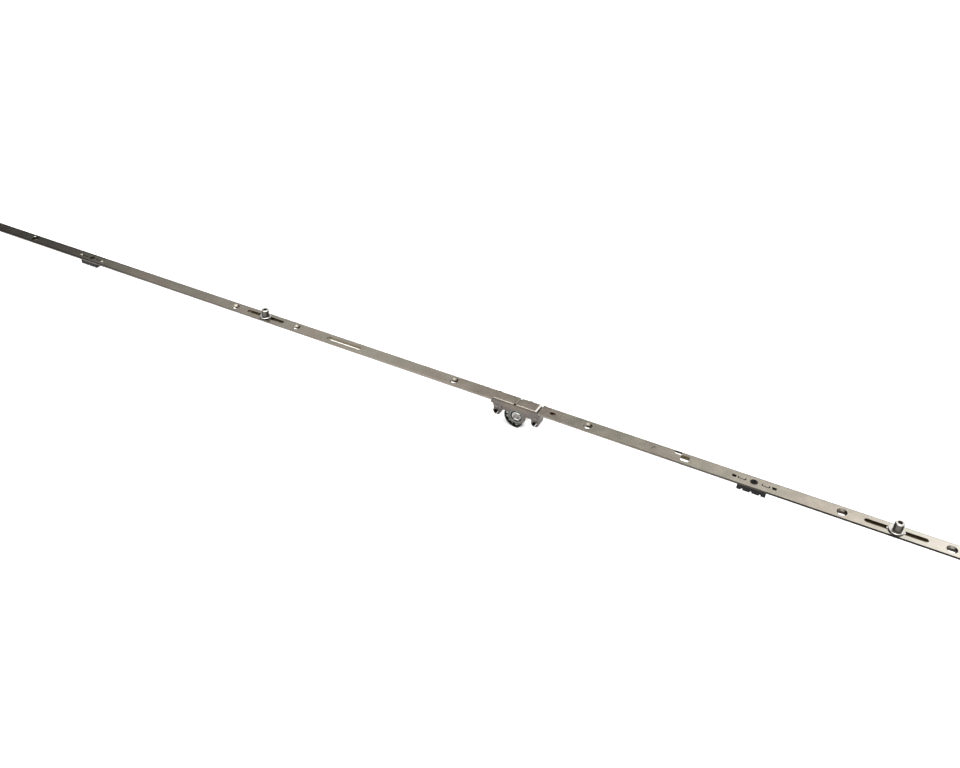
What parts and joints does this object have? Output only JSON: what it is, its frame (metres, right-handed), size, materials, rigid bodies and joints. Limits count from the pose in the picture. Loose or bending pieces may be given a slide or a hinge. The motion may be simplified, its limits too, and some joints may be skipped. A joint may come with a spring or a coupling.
{
  "type": "window espagnolette",
  "caption": "Long flat faceplate with a gearbox under it; a sliding drive rod behind the faceplate carries adjustable locking cams.",
  "frame": {"origin": "middle of the handle spindle, half way between the two handle screw holes, on the faceplate's centre line", "axes": "+X along the faceplate towards its lower end, +Y across it away from the handle side, +Z out of the faceplate's face, the way the cams stand"},
  "size_m": [1.27, 0.016, 0.0377],
  "materials": {
    "faceplate_steel": "silver passivated zinc plate, fine grain along the length",
    "rod_steel": "plain rolled steel, dark under the faceplate",
    "shell_zinc": "zinc die casting, satin",
    "gear_steel": "sintered steel, satin",
    "sleeve_zinc": "bright zinc",
    "bearing_steel": "sintered steel ring, satin",
    "cam_steel": "turned steel, zinc plated",
    "clip_plastic": "dark grey moulded plastic",
    "rivet_steel": "zinc plated"
  },
  "bodies": {
    "case": {"upper_faceplate": "faceplate_steel", "lower_faceplate": "faceplate_steel", "bridge_plate": "faceplate_steel", "housing_front": "shell_zinc", "housing_rear": "shell_zinc", "housing_rivets": "rivet_steel", "front_bearing": "bearing_steel", "rear_bearing": "bearing_steel", "upper_guide_clip": "clip_plastic", "upper_clip_pin": "clip_plastic", "lower_guide_clip": "clip_plastic", "lower_clip_pin": "clip_plastic"},
    "rod_set": {"drive_rod": "rod_steel", "upper_cam_slider": "cam_steel", "upper_cam_washer": "rivet_steel", "lower_cam_slider": "cam_steel", "lower_cam_washer": "rivet_steel"},
    "gear_set": {"drive_gear": "gear_steel", "spindle_sleeve": "sleeve_zinc"},
    "upper_roller": {"upper_cam": "cam_steel"},
    "lower_roller": {"lower_cam": "cam_steel"}
  },
  "joints": [
    {"name": "rod_slide", "type": "slide", "parent": "case", "child": "rod_set", "axis": [1, 0, 0], "range_m": [-0.018, 0.018]},
    {"name": "gear_turn", "type": "hinge", "parent": "case", "child": "gear_set", "pos_m": [0, 0, 0], "axis": [0, 1, 0], "range_deg": [-90, 90]},
    {"name": "upper_cam_turn", "type": "hinge", "parent": "rod_set", "child": "upper_roller", "pos_m": [-0.3245, 0, 0.0165], "axis": [0, 0, 1], "continuous": true},
    {"name": "lower_cam_turn", "type": "hinge", "parent": "rod_set", "child": "lower_roller", "pos_m": [0.358, 0, 0.0165], "axis": [0, 0, 1], "continuous": true}
  ],
  "couplings": [
    {"joint": "gear_turn", "follows": "rod_slide", "rad_per_m": 87.26}
  ]
}
